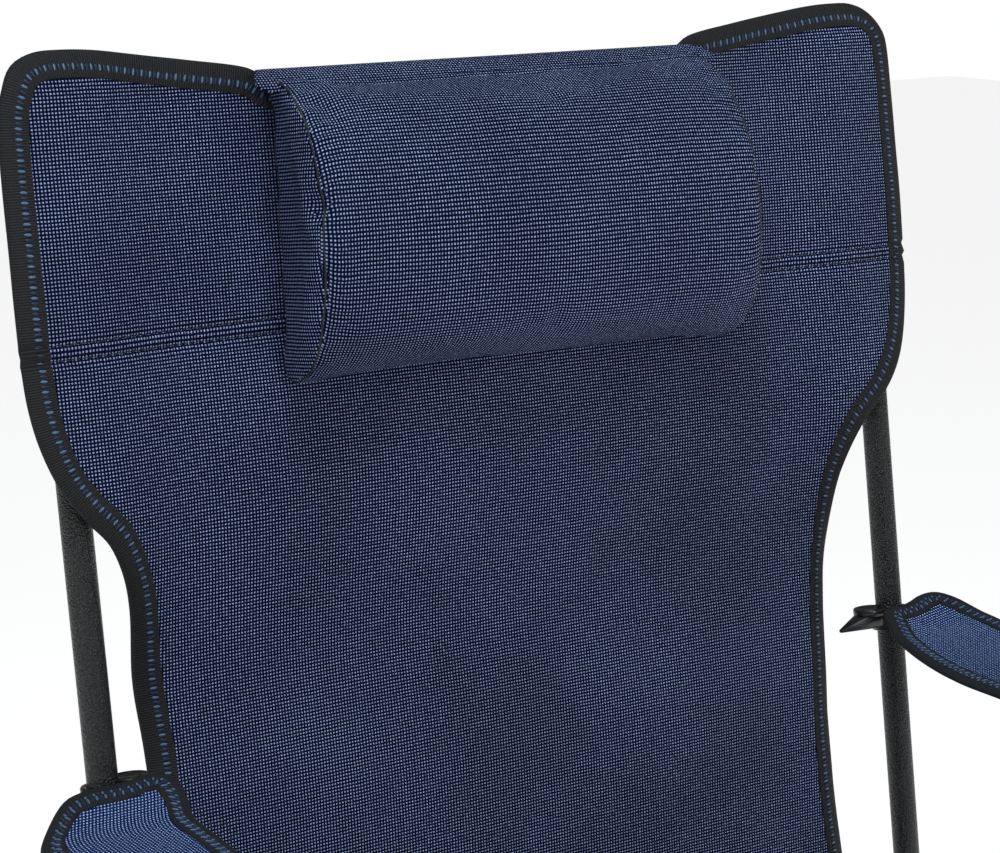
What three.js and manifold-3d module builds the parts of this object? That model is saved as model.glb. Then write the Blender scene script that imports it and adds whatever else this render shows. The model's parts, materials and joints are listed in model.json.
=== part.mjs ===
// Folding camp chair with a high padded back: four leaned posts joined by four scissor pairs.
// Every part of the frame is laid out in an upright space and leaned back as one group.
import * as THREE from 'three';
import { mergeVertices } from 'three/addons/utils/BufferGeometryUtils.js';
import Module from 'manifold-3d';

const wasm = await Module();
wasm.setup();

// Driving sizes, in millimetres and degrees.
const postSpacing = 600;
const leanAngle = 8;
const postRadius = 9;
const tubeRadius = 8;
const tubeWall = 1.2;
const scissorLength = 575;
const pivotOffset = 52;
const foldedAngle = 3;
const rearPivotHeight = 36;
const backHeight = 1062;
const earOverhang = 30;
const armWidth = 100;
const armRearHeight = 640;
const pillowWidth = 334;
const pillowBottom = 853;
const pillowTop = 1034;
const pillowDepth = 52;
const clothThickness = 3;
const seatDrop = 8;

// Clearances.
const gap = 0.3;
const rivetClearance = 0.5;

// Sizes that follow.
const lean = THREE.MathUtils.degToRad(leanAngle);
const half = postSpacing / 2;
const span = postSpacing - 2 * pivotOffset;
const collarHeight = Math.sqrt(scissorLength ** 2 - span ** 2);
const foldedHeight = scissorLength * Math.cos(THREE.MathUtils.degToRad(foldedAngle));
const sleeveInner = postRadius + gap;
const sleeveOuter = sleeveInner + 3.6;
const earThickness = 6;
const earRadius = 10;
const sleeveAbovePivot = 8;
const tubeOffset = earThickness / 2 + 0.5 + tubeRadius;
const tubeOverrun = 12;
const tubeAngle = Math.atan2(span, collarHeight);
const rivetRadius = 2.5;
const headRadius = 5;
const headHeight = 1.8;
const armFrontHeight = foldedHeight + sleeveAbovePivot + 10;
const frontPostTop = armFrontHeight + clothThickness + 8;
const rearPostTop = backHeight - 34;
const originHeight = rearPivotHeight + half * Math.sin(lean);
const segments = 16;
const backPlane = half - postRadius - gap - clothThickness;

const steel = new THREE.MeshStandardMaterial({ color: 0x17181a, roughness: 0.55, metalness: 0.6 });
const plastic = new THREE.MeshStandardMaterial({ color: 0x0c0c0e, roughness: 0.35, metalness: 0 });
const rivetSteel = new THREE.MeshStandardMaterial({ color: 0xa9acb0, roughness: 0.35, metalness: 1 });
const cloth = new THREE.MeshStandardMaterial({ color: 0x2a3a6a, roughness: 0.95, metalness: 0 });

// Solids.
function toSolid(geometry) {
  const bare = geometry.index ? geometry.clone() : geometry;
  bare.deleteAttribute('normal');
  bare.deleteAttribute('uv');
  const merged = mergeVertices(bare, 1e-3);
  const index = merged.index.array;
  const kept = [];
  for (let i = 0; i < index.length; i += 3) {
    const [a, b, c] = [index[i], index[i + 1], index[i + 2]];
    if (a !== b && b !== c && a !== c) kept.push(a, b, c);
  }
  const vertProperties = new Float32Array(merged.attributes.position.array);
  const triVerts = new Uint32Array(kept);
  return new wasm.Manifold(new wasm.Mesh({ numProp: 3, vertProperties, triVerts }));
}

function toGeometry(solid) {
  const data = solid.getMesh();
  const geometry = new THREE.BufferGeometry();
  geometry.setAttribute('position', new THREE.BufferAttribute(data.vertProperties, 3));
  geometry.setIndex(new THREE.BufferAttribute(data.triVerts, 1));
  geometry.computeVertexNormals();
  return geometry;
}

// Turns a profile of [radius, height] points around Z.
function turned(profile, sides = segments) {
  const points = profile.map(([r, z]) => new THREE.Vector2(r, z));
  const geometry = new THREE.LatheGeometry(points, sides);
  geometry.rotateX(Math.PI / 2);
  return toSolid(geometry);
}

function ringSolid(outer, inner, low, high, sides = segments) {
  const profile = [[inner, low], [outer, low], [outer, high], [inner, high], [inner, low]];
  return turned(profile, sides);
}

function rodSolid(radius, low, high, sides = segments) {
  return turned([[0, low], [radius, low], [radius, high], [0, high]], sides);
}

function boxSolid(x, y, z, width, depth, height) {
  const geometry = new THREE.BoxGeometry(width, depth, height);
  geometry.translate(x, y, z);
  return toSolid(geometry);
}

// Raises a flat outline, with holes, along Z.
function raised(outline, thickness, holes = []) {
  const shape = new THREE.Shape(outline.map(([x, y]) => new THREE.Vector2(x, y)));
  for (const hole of holes) {
    shape.holes.push(new THREE.Path(hole.map(([x, y]) => new THREE.Vector2(x, y))));
  }
  return toSolid(new THREE.ExtrudeGeometry(shape, { depth: thickness, bevelEnabled: false }));
}

function circle(x, y, radius, sides = segments) {
  return Array.from({ length: sides }, (_, i) => {
    const angle = (2 * Math.PI * i) / sides;
    return [x + radius * Math.sin(angle), y + radius * Math.cos(angle)];
  });
}

const group = new THREE.Group();
group.name = 'folding_camp_chair';
const frame = new THREE.Group();
frame.name = 'leaned_frame';
frame.rotation.x = -lean;
frame.position.set(0, 0, originHeight);
group.add(frame);

function addPart(name, solid, material, position = [0, 0, 0], parent = frame) {
  const mesh = new THREE.Mesh(toGeometry(solid), material);
  mesh.name = name;
  mesh.position.set(...position);
  parent.add(mesh);
  return mesh;
}

// Corners: side is -1 on the left and 1 on the right, end is -1 in front and 1 at the rear.
const corners = [
  { tag: 'front_left', side: -1, end: -1 },
  { tag: 'front_right', side: 1, end: -1 },
  { tag: 'rear_left', side: -1, end: 1 },
  { tag: 'rear_right', side: 1, end: 1 },
];

// An ear with a round end, pointing along +X, with its pivot at x = pivotOffset.
function earAlongX() {
  const start = sleeveInner + 1.5;
  const plate = boxSolid((start + pivotOffset) / 2, 0, 0, pivotOffset - start, earThickness, 2 * earRadius);
  const end = rodSolid(earRadius, -earThickness / 2, earThickness / 2).rotate([90, 0, 0]);
  const hole = rodSolid(rivetRadius + rivetClearance, -earThickness, earThickness, 8).rotate([90, 0, 0]);
  return plate.add(end.translate([pivotOffset, 0, 0])).subtract(hole.translate([pivotOffset, 0, 0]));
}

// A sleeve on the post with two ears towards the neighbouring posts.
function hubSolid(side, end, below, above) {
  const earX = earAlongX().rotate([0, 0, side > 0 ? 180 : 0]);
  const earY = earAlongX().rotate([0, 0, end > 0 ? -90 : 90]);
  const bore = rodSolid(sleeveInner, -below - 1, above + 1);
  return rodSolid(sleeveOuter, -below, above).add(earX).add(earY).subtract(bore);
}

for (const { tag, side, end } of corners) {
  const x = side * half;
  const y = end * half;
  const floorHeight = -(originHeight - y * Math.sin(lean)) / Math.cos(lean);
  const bottom = floorHeight + 7;
  const top = end > 0 ? rearPostTop : frontPostTop;
  addPart(`post_${tag}`, ringSolid(postRadius, postRadius - tubeWall, bottom, top), steel, [x, y, 0]);
  addPart(`lower_hub_${tag}`, hubSolid(side, end, 13, 13), plastic, [x, y, 0]);
  addPart(`sliding_collar_${tag}`, hubSolid(side, end, 28, sleeveAbovePivot), plastic, [x, y, collarHeight]);

  // The boot is cut level with the floor.
  const bootTop = end > 0 ? -13 - gap : floorHeight + 45;
  const bootProfile = [
    [0, floorHeight - 6], [20, floorHeight - 6], [20, floorHeight + 6], [14, floorHeight + 13],
    [13, bootTop], [sleeveInner, bootTop], [sleeveInner, bottom - gap], [0, bottom - gap],
  ];
  const below = boxSolid(0, 0, -50, 120, 120, 100).rotate([leanAngle, 0, 0]).translate([0, 0, floorHeight]);
  addPart(`foot_boot_${tag}`, turned(bootProfile).subtract(below), plastic, [x, y, 0]);
}

// Scissor tubes. Each pair crosses in the middle, one tube outside the posts' plane and one inside.
const tubeHalf = scissorLength / 2;

function scissorTube() {
  const body = ringSolid(tubeRadius, tubeRadius - tubeWall, -tubeHalf - tubeOverrun, tubeHalf + tubeOverrun, 12);
  const drill = rodSolid(rivetRadius + rivetClearance, -tubeRadius - 2, tubeRadius + 2, 8).rotate([90, 0, 0]);
  return body
    .subtract(drill.translate([0, 0, -tubeHalf]))
    .subtract(drill)
    .subtract(drill.translate([0, 0, tubeHalf]));
}

// A rivet with a head at each end, along Y, from low to high.
function rivetSolid(low, high, collars = []) {
  const profile = [[0, low - headHeight], [headRadius - 1, low - headHeight], [headRadius, low - 0.6], [headRadius, low]];
  profile.push([rivetRadius, low]);
  for (const [from, to] of collars) {
    profile.push([rivetRadius, from], [6, from], [6, to], [rivetRadius, to]);
  }
  profile.push([rivetRadius, high], [headRadius, high], [headRadius, high + 0.6]);
  profile.push([headRadius - 1, high + headHeight], [0, high + headHeight]);
  return turned(profile, 8).rotate([-90, 0, 0]);
}

const tubeFar = earThickness / 2 + 0.5 + 2 * tubeRadius + gap;
const endRivet = rivetSolid(-earThickness / 2 - gap, tubeFar);
const spacer = tubeOffset - tubeRadius - gap;
const centreRivet = rivetSolid(-tubeFar, tubeFar, [[-spacer, spacer]]);

// Each scissor stands in its own panel group whose X runs from its first post to its second.
const panels = [
  { tag: 'front', x: 0, y: -half, turn: 0, risingOut: true, first: 'front_left', second: 'front_right' },
  { tag: 'rear', x: 0, y: half, turn: 0, risingOut: true, first: 'rear_left', second: 'rear_right' },
  { tag: 'left', x: -half, y: 0, turn: 90, risingOut: false, first: 'front_left', second: 'rear_left' },
  { tag: 'right', x: half, y: 0, turn: 90, risingOut: false, first: 'front_right', second: 'rear_right' },
];

for (const { tag, x, y, turn } of panels) {
  const panel = new THREE.Group();
  panel.name = `scissor_${tag}`;
  panel.position.set(x, y, 0);
  panel.rotation.z = THREE.MathUtils.degToRad(turn);
  frame.add(panel);
  // The rising tube is at -Y in its panel and the falling tube at +Y.
  const rising = addPart(`scissor_tube_${tag}_rising`, scissorTube(), steel, [0, -tubeOffset, collarHeight / 2], panel);
  rising.rotation.y = tubeAngle;
  const falling = addPart(`scissor_tube_${tag}_falling`, scissorTube(), steel, [0, tubeOffset, collarHeight / 2], panel);
  falling.rotation.y = -tubeAngle;
  addPart(`centre_rivet_${tag}`, centreRivet, rivetSteel, [0, 0, collarHeight / 2], panel);
  for (const [end, from, way, height] of [
    ['rising_foot', -span / 2, 180, 0],
    ['rising_top', span / 2, 180, collarHeight],
    ['falling_foot', span / 2, 0, 0],
    ['falling_top', -span / 2, 0, collarHeight],
  ]) {
    const rivet = addPart(`rivet_${tag}_${end}`, endRivet, rivetSteel, [from, 0, height], panel);
    rivet.rotation.z = THREE.MathUtils.degToRad(way);
  }
}

// Plugs in the tops of the rear posts.
for (const side of [-1, 1]) {
  const inner = postRadius - tubeWall - gap;
  const profile = [
    [0, rearPostTop - 14], [inner, rearPostTop - 14], [inner, rearPostTop + gap], [postRadius, rearPostTop + gap],
    [postRadius - 1, rearPostTop + 4], [0, rearPostTop + 5],
  ];
  addPart(`post_plug_${side < 0 ? 'left' : 'right'}`, turned(profile), plastic, [side * half, half, 0]);
}

// Arms: a cloth strap from the rear post to the front post, where a cap holds it.
const armDrop = Math.atan2(armRearHeight - armFrontHeight, postSpacing);
const armMiddle = (armRearHeight + armFrontHeight) / 2;
const armReach = half / Math.cos(armDrop);
const armHalf = armWidth / 2;

// The strap is narrow at the rear post, where it passes the back, and full width in front of it.
function armOutline() {
  const rightSide = [
    [28, -armReach - 19], [armHalf - 12, -armReach - 13], [armHalf - 3, -armReach - 2],
    [armHalf, -armReach + 14], [armHalf, armReach - 96], [armHalf - 4, armReach - 64],
    [armHalf - 14, armReach - 38], [27, armReach - 15], [25, armReach + 6], [17, armReach + 18],
  ];
  const leftSide = rightSide.map(([x, y]) => [-x, y]).reverse();
  return [...rightSide, ...leftSide];
}

for (const side of [-1, 1]) {
  const tag = side < 0 ? 'left' : 'right';
  const holeRadius = postRadius + gap + 0.4;
  const holes = [circle(0, armReach, holeRadius), circle(0, -armReach, holeRadius)];
  const strap = raised(armOutline(), clothThickness, holes).translate([0, 0, -clothThickness / 2]);
  const arm = addPart(`arm_cloth_${tag}`, strap, cloth, [side * half, 0, armMiddle]);
  arm.rotation.x = armDrop;

  // The cap is a hood over the post's top, and the strap lies under its rim.
  const capLow = armFrontHeight + clothThickness / 2 + 1.6 + 17 * Math.tan(armDrop);
  const capProfile = [
    [0, frontPostTop + gap], [postRadius + gap, frontPostTop + gap], [postRadius + gap, capLow], [17, capLow],
    [17, capLow + 5], [14, frontPostTop + 4], [0, frontPostTop + 5],
  ];
  addPart(`arm_cap_${tag}`, turned(capProfile), plastic, [side * half, -half, 0]);

  // The clip is a ring round the rear post with a thumb tab towards the seat.
  const clipTop = armRearHeight - clothThickness / 2 - 1.6 - 13 * Math.tan(armDrop);
  const tabOutline = [[sleeveInner + 1, -7], [34, -7], [38, -4], [38, 4], [34, 7], [sleeveInner + 1, 7]];
  const tab = raised(tabOutline, 13).rotate([0, 0, side > 0 ? 180 : 0]).translate([0, 0, clipTop - 14]);
  const ring = rodSolid(sleeveOuter, clipTop - 17, clipTop).add(tab);
  const clip = ring.subtract(rodSolid(sleeveInner, clipTop - 20, clipTop + 2));
  addPart(`arm_clip_${tag}`, clip, plastic, [side * half, half, 0]);
}

// Back: one sheet in front of the rear posts, with a sleeve round each post behind its wings.
const backBottom = collarHeight + sleeveAbovePivot + 16 + clothThickness + 4;
const wingX = half + earOverhang;
const wingLow = backHeight - 290;
const waistX = half - 38;

function backOutline() {
  const rightSide = [
    [half - 16, backBottom], [waistX + 4, backBottom + 60], [waistX, backBottom + 160],
    [waistX, wingLow - 75], [waistX + 16, wingLow - 35], [half - 6, wingLow],
    [wingX - 12, wingLow + 28], [wingX - 4, wingLow + 60], [wingX, wingLow + 110],
    [wingX, backHeight - 50], [wingX - 4, backHeight - 20], [half + 8, backHeight - 4],
    [half - 10, backHeight], [half - 40, backHeight - 4], [half - 90, backHeight - 14],
    [pillowWidth / 2 - 4, backHeight - 23], [80, backHeight - 27],
  ];
  const leftSide = rightSide.map(([x, z]) => [-x, z]).reverse();
  return [...rightSide, ...leftSide];
}

function backSection() {
  const back = backPlane + clothThickness;
  const band = raised([[-wingX, backPlane], [wingX, backPlane], [wingX, back], [-wingX, back]], backHeight);
  let section = band;
  for (const side of [-1, 1]) {
    const outer = rodSolid(sleeveInner + 2.4, wingLow, backHeight).translate([side * half, half, 0]);
    const inner = rodSolid(sleeveInner, -10, backHeight + 10).translate([side * half, half, 0]);
    const bridge = boxSolid(side * half, half - 5, (wingLow + backHeight) / 2, 22, 8.5, backHeight - wingLow);
    section = section.add(outer).add(bridge).subtract(inner);
  }
  return section;
}

const backCutter = raised(backOutline(), postSpacing).rotate([90, 0, 0]).translate([0, 2 * half, 0]);
addPart('back_panel', backSection().intersect(backCutter), cloth);

// Pillow: a D-shaped section along X, with its flat side on the back panel.
const pillowBack = backPlane - gap;
const pillowMiddle = (pillowBottom + pillowTop) / 2;
const pillowHalfHeight = (pillowTop - pillowBottom) / 2;

function pillowSection() {
  const points = [[0, -pillowHalfHeight]];
  for (let i = 1; i < 14; i += 1) {
    const t = -1 + (2 * i) / 14;
    points.push([pillowDepth * (1 - Math.abs(t) ** 2.6) ** 0.62, pillowHalfHeight * t]);
  }
  points.push([0, pillowHalfHeight]);
  return points;
}

const pillow = raised(pillowSection(), pillowWidth).rotate([0, 0, -90]).translate([0, 0, -pillowWidth / 2]);
const pillowTurned = pillow.rotate([0, 0, 90]).rotate([90, 0, 0]).rotate([0, 0, -90]);
addPart('headrest_pillow', pillowTurned, cloth, [0, pillowBack, pillowMiddle]);

// Seat: two halves that meet in the middle, each looped round two posts just above the collars.
const seatHinge = half - 15;
const seatSlope = THREE.MathUtils.degToRad(seatDrop);
const seatCorner = collarHeight + sleeveAbovePivot + 16;
const seatSide = half - postRadius - 4;
const seatLength = (seatHinge - gap) / Math.cos(seatSlope) - clothThickness * Math.tan(seatSlope);

function seatHalf() {
  const tabEnd = 15 + postRadius + 4;
  const outline = [
    [-seatSide, seatLength], [-seatSide, 46], [-half - 13, 10], [-half - 13, -tabEnd], [-half + 13, -tabEnd],
    [-half + 20, -2], [half - 20, -2], [half - 13, -tabEnd], [half + 13, -tabEnd], [half + 13, 10],
    [seatSide, 46], [seatSide, seatLength],
  ];
  const holes = [-half, half].map((x) => circle(x, -15, postRadius + gap + 0.6));
  return raised(outline, clothThickness, holes);
}

for (const [tag, way] of [['rear', 1], ['front', -1]]) {
  const holder = new THREE.Group();
  holder.name = `seat_${tag}`;
  holder.position.set(0, way * seatHinge, seatCorner);
  holder.rotation.z = way > 0 ? Math.PI : 0;
  frame.add(holder);
  const panel = addPart(`seat_panel_${tag}`, seatHalf(), cloth, [0, 0, 0], holder);
  panel.rotation.x = -seatSlope;
}

// Centre the whole chair over the origin.
group.updateMatrixWorld(true);
const box = new THREE.Box3().setFromObject(group, true);
group.position.set(-(box.min.x + box.max.x) / 2, -(box.min.y + box.max.y) / 2, -box.min.z);
group.updateMatrixWorld(true);

export default group;
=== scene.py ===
# %% [markdown]
# # Folding camp chair
#
# The frame comes from the CAD model. This script adds the soft goods: a two-tone woven back with
# pockets over its posts, black binding tape with two-colour stitches, a headrest pillow, arms and a seat.
# Everything is laid out in the chair's own upright space, in millimetres, and then leaned back.

# %% Imports and the frame
import json
import math

import bmesh
import bpy
import numpy as np
from mathutils import Matrix, Vector, geometry, noise
from mathutils.bvhtree import BVHTree


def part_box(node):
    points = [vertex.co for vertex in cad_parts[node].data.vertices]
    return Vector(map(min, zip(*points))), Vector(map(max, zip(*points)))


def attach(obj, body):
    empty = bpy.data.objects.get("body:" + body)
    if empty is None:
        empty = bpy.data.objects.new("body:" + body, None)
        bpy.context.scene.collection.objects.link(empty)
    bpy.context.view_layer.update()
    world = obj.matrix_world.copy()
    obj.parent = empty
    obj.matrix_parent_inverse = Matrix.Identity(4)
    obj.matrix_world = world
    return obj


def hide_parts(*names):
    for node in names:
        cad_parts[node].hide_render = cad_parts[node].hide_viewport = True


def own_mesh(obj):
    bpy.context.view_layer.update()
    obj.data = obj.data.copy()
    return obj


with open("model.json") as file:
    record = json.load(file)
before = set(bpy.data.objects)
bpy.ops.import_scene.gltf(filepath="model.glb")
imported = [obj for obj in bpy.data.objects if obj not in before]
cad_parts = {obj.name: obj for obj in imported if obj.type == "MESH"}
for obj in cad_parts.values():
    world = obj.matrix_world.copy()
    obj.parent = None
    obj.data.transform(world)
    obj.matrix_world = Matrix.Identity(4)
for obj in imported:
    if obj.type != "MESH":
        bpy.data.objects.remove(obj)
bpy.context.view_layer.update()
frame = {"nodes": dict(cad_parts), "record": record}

# %% [markdown]
# ## Leaned space
#
# x runs across the chair, y runs back at a right angle to the posts, and z runs up along the posts.
# The fold pivot of the record fixes where that space lies in the row frame.

# %% Leaned space
LEAN = math.radians(8)
HALF = 300.0
PIVOT = 52.0
POST_RADIUS = 9.0
joints = {j["name"]: j for j in frame["record"]["behaviour"]["joints"]}
FRONT_PIVOT = Vector(joints["frame_fold"]["pos_m"])
BACK = Vector((0, math.cos(LEAN), -math.sin(LEAN)))
UP = Vector((0, math.sin(LEAN), math.cos(LEAN)))
ORIGIN = FRONT_PIVOT - Vector((-(HALF - PIVOT) / 1000, 0, 0)) + BACK * (HALF / 1000)


def place(x, y, z):
    return ORIGIN + Vector((x / 1000, 0, 0)) + BACK * (y / 1000) + UP * (z / 1000)


def place_all(points):
    p = np.asarray(points, float) / 1000
    return np.array(ORIGIN) + p[:, :1] * [1, 0, 0] + p[:, 1:2] * np.array(BACK) + p[:, 2:] * np.array(UP)


print("leaned origin", [round(c, 4) for c in ORIGIN])

# %% [markdown]
# ## Camera
#
# A three-quarter view of the upper half from the front left, a little above the arms.

# %% Camera
CAMERA_FROM_ARM = Vector((-0.929, -1.275, 0.508))
AZIMUTH, ELEVATION, ROLL = (math.radians(a) for a in (-35.3, 12.35, -0.29))
forward = Vector((
    -math.sin(AZIMUTH) * math.cos(ELEVATION),
    math.cos(AZIMUTH) * math.cos(ELEVATION),
    -math.sin(ELEVATION),
))
level = Vector((math.cos(AZIMUTH), math.sin(AZIMUTH), 0))
above = level.cross(forward)
right = level * math.cos(ROLL) + above * math.sin(ROLL)
above = above * math.cos(ROLL) - level * math.sin(ROLL)
camera = bpy.data.objects.new("camera", bpy.data.cameras.new("camera"))
camera.data.sensor_width = 36
camera.data.lens = 95.3
camera.matrix_world = Matrix((
    (right.x, above.x, -forward.x, 0),
    (right.y, above.y, -forward.y, 0),
    (right.z, above.z, -forward.z, 0),
    (0, 0, 0, 1),
))
camera.location = place(0, HALF, 640) + CAMERA_FROM_ARM
bpy.context.scene.collection.objects.link(camera)
bpy.context.scene.camera = camera
print("camera at", [round(c, 3) for c in camera.location])

# %% [markdown]
# ## Materials
#
# Small helpers wire the nodes. The cloth is drawn from its UV map, which holds the flat cut in metres.

# %% Node helpers
def new_material(name, color, roughness, metallic=0.0):
    material = bpy.data.materials.new(name)
    material.use_nodes = True
    shader = material.node_tree.nodes["Principled BSDF"]
    shader.inputs["Base Color"].default_value = (*color, 1)
    shader.inputs["Roughness"].default_value = roughness
    shader.inputs["Metallic"].default_value = metallic
    return material, material.node_tree.nodes, material.node_tree.links, shader


def math_node(nodes, links, operation, a, b=None, clamp=False):
    node = nodes.new("ShaderNodeMath")
    node.operation = operation
    node.use_clamp = clamp
    for socket, value in zip(node.inputs, (a, b)):
        if value is None:
            continue
        if isinstance(value, (int, float)):
            socket.default_value = value
        else:
            links.new(value, socket)
    return node.outputs[0]


def ramp_node(nodes, links, value, low, high, out_low=0.0, out_high=1.0):
    node = nodes.new("ShaderNodeMapRange")
    node.interpolation_type = "SMOOTHSTEP"
    node.inputs["From Min"].default_value = low
    node.inputs["From Max"].default_value = high
    node.inputs["To Min"].default_value = out_low
    node.inputs["To Max"].default_value = out_high
    links.new(value, node.inputs["Value"])
    return node.outputs["Result"]


def mix_node(nodes, links, factor, a, b, blend="MIX"):
    node = nodes.new("ShaderNodeMix")
    node.data_type = "RGBA"
    node.blend_type = blend
    for socket, value in ((node.inputs[0], factor), (node.inputs[6], a), (node.inputs[7], b)):
        if isinstance(value, (int, float)):
            socket.default_value = value
        elif isinstance(value, tuple):
            socket.default_value = (*value, 1)
        else:
            links.new(value, socket)
    return node.outputs[2]


def noise_node(nodes, links, vector, scale, detail=2.0):
    node = nodes.new("ShaderNodeTexNoise")
    node.inputs["Scale"].default_value = scale
    node.inputs["Detail"].default_value = detail
    links.new(vector, node.inputs["Vector"])
    return node.outputs["Fac"]


def bump_node(nodes, links, shader, height, strength, distance, before=None):
    node = nodes.new("ShaderNodeBump")
    node.inputs["Strength"].default_value = strength
    node.inputs["Distance"].default_value = distance
    links.new(height, node.inputs["Height"])
    if before is not None:
        links.new(before, node.inputs["Normal"])
    links.new(node.outputs["Normal"], shader.inputs["Normal"])
    return node.outputs["Normal"]


# %% [markdown]
# The cloth is woven from navy yarn with a pale yarn that comes to the surface once in each repeat, so
# it shows as a grid of small pale beads. Two cosine waves along the cloth's own flat coordinates give the
# grid. Their product is a round hill at each crossing, and its top is the bead. A tint of each wave alone
# gives the navy cords between the beads.

# %% Weave
REPEAT_ACROSS = 2.11
REPEAT_ALONG = 2.07


def weave_material(name, pale, navy, deep):
    material, nodes, links, shader = new_material(name, navy, 0.78)
    coordinates = nodes.new("ShaderNodeTexCoord")
    split = nodes.new("ShaderNodeSeparateXYZ")
    links.new(coordinates.outputs["UV"], split.inputs[0])
    wander = noise_node(nodes, links, coordinates.outputs["UV"], 70, 1)
    sway = math_node(nodes, links, "MULTIPLY", wander, 1.6)
    waves = []
    for axis, repeat in (("X", REPEAT_ACROSS), ("Y", REPEAT_ALONG)):
        turn = math_node(nodes, links, "MULTIPLY", split.outputs[axis], 2 * math.pi * 1000 / repeat)
        wave = math_node(nodes, links, "COSINE", math_node(nodes, links, "ADD", turn, sway))
        waves.append(ramp_node(nodes, links, wave, -1, 1))
    hill = math_node(nodes, links, "MULTIPLY", waves[0], waves[1])
    yarn = noise_node(nodes, links, coordinates.outputs["UV"], 480, 1)
    yarn = ramp_node(nodes, links, yarn, 0.3, 0.7, 0.6, 1.2)
    wash = noise_node(nodes, links, coordinates.outputs["UV"], 9, 3)
    wash = ramp_node(nodes, links, wash, 0.3, 0.7, 0.86, 1.12)
    bead = ramp_node(nodes, links, hill, 0.42, 0.74)
    cord = math_node(nodes, links, "MAXIMUM", waves[0], waves[1])
    ground = mix_node(nodes, links, cord, deep, navy)
    color = mix_node(nodes, links, bead, ground, pale)
    tone = math_node(nodes, links, "MULTIPLY", yarn, wash)
    scaled = nodes.new("ShaderNodeVectorMath")
    scaled.operation = "SCALE"
    links.new(color, scaled.inputs[0])
    links.new(tone, scaled.inputs["Scale"])
    links.new(scaled.outputs[0], shader.inputs["Base Color"])
    height = math_node(nodes, links, "ADD", hill, math_node(nodes, links, "MULTIPLY", cord, 0.5))
    bump_node(nodes, links, shader, height, 0.6, 0.0004)
    shader.inputs["Sheen Weight"].default_value = 0.005
    shader.inputs["Sheen Roughness"].default_value = 0.5
    shader.inputs["Sheen Tint"].default_value = (0.3, 0.45, 0.9, 1)
    shader.inputs["Specular IOR Level"].default_value = 0.06
    return material


WEAVE = weave_material("two_tone_weave", (0.36, 0.44, 0.68), (0.0035, 0.008, 0.044), (0.001, 0.0025, 0.016))
WEAVE_BRIGHT = weave_material("arm_weave", (0.42, 0.56, 0.90), (0.012, 0.030, 0.13), (0.004, 0.009, 0.05))


# %% [markdown]
# Binding tape is ribbed across its length. The stitches are shiny thread, and the frame has a pebbled
# powder coat.

# %% Tape, thread and frame finishes
def tape_material():
    material, nodes, links, shader = new_material("binding_tape", (0.016, 0.017, 0.019), 0.7)
    coordinates = nodes.new("ShaderNodeTexCoord")
    split = nodes.new("ShaderNodeSeparateXYZ")
    links.new(coordinates.outputs["UV"], split.inputs[0])
    rib = math_node(nodes, links, "SINE",
                    math_node(nodes, links, "MULTIPLY", split.outputs["X"], 2 * math.pi * 1000 / 1.5))
    fibre = noise_node(nodes, links, coordinates.outputs["UV"], 900, 2)
    height = math_node(nodes, links, "ADD", math_node(nodes, links, "MULTIPLY", rib, 0.5), fibre)
    bump_node(nodes, links, shader, height, 0.7, 0.0003)
    shade = ramp_node(nodes, links, height, 0.2, 1.1)
    color = mix_node(nodes, links, shade, (0.007, 0.0075, 0.009), (0.026, 0.028, 0.031))
    links.new(color, shader.inputs["Base Color"])
    shader.inputs["Sheen Weight"].default_value = 0.02
    shader.inputs["Specular IOR Level"].default_value = 0.25
    return material


def thread_material(name, color):
    material, nodes, links, shader = new_material(name, color, 0.45)
    coordinates = nodes.new("ShaderNodeTexCoord")
    twist = noise_node(nodes, links, coordinates.outputs["Object"], 1500, 2)
    bump_node(nodes, links, shader, twist, 0.5, 0.0002)
    tone = ramp_node(nodes, links, twist, 0.25, 0.75)
    dark = tuple(c * 0.55 for c in color)
    links.new(mix_node(nodes, links, tone, dark, color), shader.inputs["Base Color"])
    shader.inputs["Sheen Weight"].default_value = 0.08
    return material


def coat_material():
    material, nodes, links, shader = new_material("pebbled_powder_coat", (0.006, 0.0063, 0.007), 0.42)
    coordinates = nodes.new("ShaderNodeTexCoord")
    pebbles = nodes.new("ShaderNodeTexVoronoi")
    pebbles.feature = "SMOOTH_F1"
    pebbles.inputs["Scale"].default_value = 900
    links.new(coordinates.outputs["Object"], pebbles.inputs["Vector"])
    grain = noise_node(nodes, links, coordinates.outputs["Object"], 1400, 3)
    height = math_node(nodes, links, "ADD", pebbles.outputs["Distance"],
                       math_node(nodes, links, "MULTIPLY", grain, 0.8))
    bump_node(nodes, links, shader, height, 1.0, 0.0012)
    rough = ramp_node(nodes, links, grain, 0.3, 0.7, 0.16, 0.36)
    links.new(rough, shader.inputs["Roughness"])
    shader.inputs["Specular IOR Level"].default_value = 0.6
    return material


def plastic_material():
    material, nodes, links, shader = new_material("moulded_plastic", (0.012, 0.012, 0.014), 0.3)
    coordinates = nodes.new("ShaderNodeTexCoord")
    orange_peel = noise_node(nodes, links, coordinates.outputs["Object"], 260, 2)
    bump_node(nodes, links, shader, orange_peel, 0.15, 0.0004)
    scuffs = noise_node(nodes, links, coordinates.outputs["Object"], 40, 4)
    links.new(ramp_node(nodes, links, scuffs, 0.35, 0.75, 0.24, 0.46), shader.inputs["Roughness"])
    return material


def rivet_material():
    material, nodes, links, shader = new_material("plated_rivet", (0.55, 0.56, 0.58), 0.3, 1.0)
    coordinates = nodes.new("ShaderNodeTexCoord")
    wear = noise_node(nodes, links, coordinates.outputs["Object"], 220, 3)
    links.new(ramp_node(nodes, links, wear, 0.3, 0.7, 0.22, 0.5), shader.inputs["Roughness"])
    bump_node(nodes, links, shader, wear, 0.1, 0.0002)
    return material


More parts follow.
